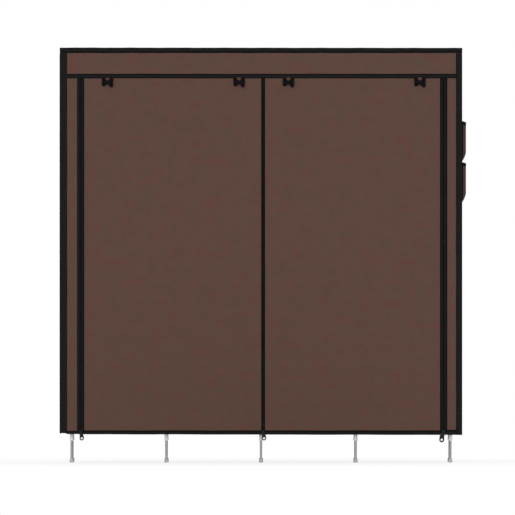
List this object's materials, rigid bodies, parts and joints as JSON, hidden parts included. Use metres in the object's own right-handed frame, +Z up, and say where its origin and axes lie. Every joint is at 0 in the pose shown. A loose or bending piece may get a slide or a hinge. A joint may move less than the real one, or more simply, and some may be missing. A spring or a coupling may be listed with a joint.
{
  "type": "portable fabric wardrobe",
  "caption": "Wide free-standing wardrobe: a plugged tube frame with cloth shelves and hanging rails under a zipped fabric cover with two lifting doors and side pockets.",
  "frame": {"origin": "on the floor, under the middle of the cover", "axes": "+X to the right seen from the front, +Y from the front to the back, +Z up"},
  "size_m": [1.7157, 0.4544, 1.75],
  "materials": {
    "steel_tube": "smooth grey coated steel tube",
    "connector_plastic": "pale translucent moulded plastic, lightly frosted",
    "brown_cloth": "matt brown non-woven cloth with a fine embossed grid",
    "black_binding": "matt black folded binding tape, stitched along its edges",
    "zip_tape": "black woven zip tape with a nylon coil",
    "slider_metal": "black coated zip slider",
    "pull_plastic": "black moulded pull tab with a bright eyelet"
  },
  "bodies": {
    "wardrobe": {"front_upright_1": "steel_tube", "front_upright_2": "steel_tube", "front_upright_3": "steel_tube", "front_upright_4": "steel_tube", "front_upright_5": "steel_tube", "back_upright_1": "steel_tube", "back_upright_2": "steel_tube", "back_upright_3": "steel_tube", "back_upright_4": "steel_tube", "back_upright_5": "steel_tube", "bottom_frame": "connector_plastic", "top_frame": "connector_plastic", "left_shelf_frame_1": "connector_plastic", "left_shelf_frame_2": "connector_plastic", "left_shelf_frame_3": "connector_plastic", "right_shelf_frame_1": "connector_plastic", "right_shelf_frame_2": "connector_plastic", "right_shelf_frame_3": "connector_plastic", "hanging_rail_left": "steel_tube", "hanging_rail_right": "steel_tube", "left_shelf_1": "brown_cloth", "left_shelf_2": "brown_cloth", "left_shelf_3": "brown_cloth", "left_shelf_4": "brown_cloth", "middle_shelf_left": "brown_cloth", "middle_shelf_right": "brown_cloth", "right_shelf_1": "brown_cloth", "right_shelf_2": "brown_cloth", "right_shelf_3": "brown_cloth", "right_shelf_4": "brown_cloth", "roof_panel": "brown_cloth", "back_panel": "brown_cloth", "left_side_panel": "brown_cloth", "right_side_panel": "brown_cloth", "header_panel": "brown_cloth", "left_front_strip": "brown_cloth", "right_front_strip": "brown_cloth", "upper_pockets": "brown_cloth", "lower_pockets": "brown_cloth", "top_binding": "black_binding", "left_edge_binding": "black_binding", "right_edge_binding": "black_binding", "header_binding": "black_binding", "bottom_binding": "black_binding", "left_zip_fixed_tape": "zip_tape", "right_zip_fixed_tape": "zip_tape", "left_door_panel": "brown_cloth", "right_door_panel": "brown_cloth"},
    "left_door": {"left_door_hem": "black_binding"},
    "right_door": {"right_door_hem": "black_binding"},
    "left_slider": {"left_slider": "slider_metal"},
    "centre_slider": {"centre_slider": "slider_metal"},
    "right_slider": {"right_slider": "slider_metal"},
    "left_pull": {"left_pull": "pull_plastic"},
    "centre_pull": {"centre_pull": "pull_plastic"},
    "right_pull": {"right_pull": "pull_plastic"},
    "door_tie_1": {"door_tie_1": "black_binding"},
    "door_tie_2": {"door_tie_2": "black_binding"},
    "door_tie_3": {"door_tie_3": "black_binding"},
    "door_tie_4": {"door_tie_4": "black_binding"}
  },
  "joints": [
    {"name": "left_zip_slide", "type": "slide", "parent": "wardrobe", "child": "left_slider", "axis": [0, 0, 1], "range_m": [0, 1.48]},
    {"name": "centre_zip_slide", "type": "slide", "parent": "wardrobe", "child": "centre_slider", "axis": [0, 0, 1], "range_m": [0, 1.48]},
    {"name": "right_zip_slide", "type": "slide", "parent": "wardrobe", "child": "right_slider", "axis": [0, 0, 1], "range_m": [0, 1.48]},
    {"name": "left_pull_swing", "type": "hinge", "parent": "left_slider", "child": "left_pull", "pos_m": [-0.762, -0.22705, 0.129], "axis": [-1, 0, 0], "range_deg": [0, 160]},
    {"name": "centre_pull_swing", "type": "hinge", "parent": "centre_slider", "child": "centre_pull", "pos_m": [0.008, -0.22705, 0.129], "axis": [-1, 0, 0], "range_deg": [0, 160]},
    {"name": "right_pull_swing", "type": "hinge", "parent": "right_slider", "child": "right_pull", "pos_m": [0.771, -0.22705, 0.129], "axis": [-1, 0, 0], "range_deg": [0, 160]},
    {"name": "left_door_lift", "type": "slide", "parent": "wardrobe", "child": "left_door", "axis": [0, 0, 1], "range_m": [0, 1.38], "deforming": ["left_door_panel"]},
    {"name": "right_door_lift", "type": "slide", "parent": "wardrobe", "child": "right_door", "axis": [0, 0, 1], "range_m": [0, 1.38], "deforming": ["right_door_panel"]},
    {"name": "door_tie_1_swing", "type": "hinge", "parent": "wardrobe", "child": "door_tie_1", "pos_m": [-0.648, -0.2259, 1.623], "axis": [-1, 0, 0], "range_deg": [0, 150]},
    {"name": "door_tie_2_swing", "type": "hinge", "parent": "wardrobe", "child": "door_tie_2", "pos_m": [-0.094, -0.2259, 1.623], "axis": [-1, 0, 0], "range_deg": [0, 150]},
    {"name": "door_tie_3_swing", "type": "hinge", "parent": "wardrobe", "child": "door_tie_3", "pos_m": [0.1185, -0.2259, 1.623], "axis": [-1, 0, 0], "range_deg": [0, 150]},
    {"name": "door_tie_4_swing", "type": "hinge", "parent": "wardrobe", "child": "door_tie_4", "pos_m": [0.6725, -0.2259, 1.623], "axis": [-1, 0, 0], "range_deg": [0, 150]}
  ]
}
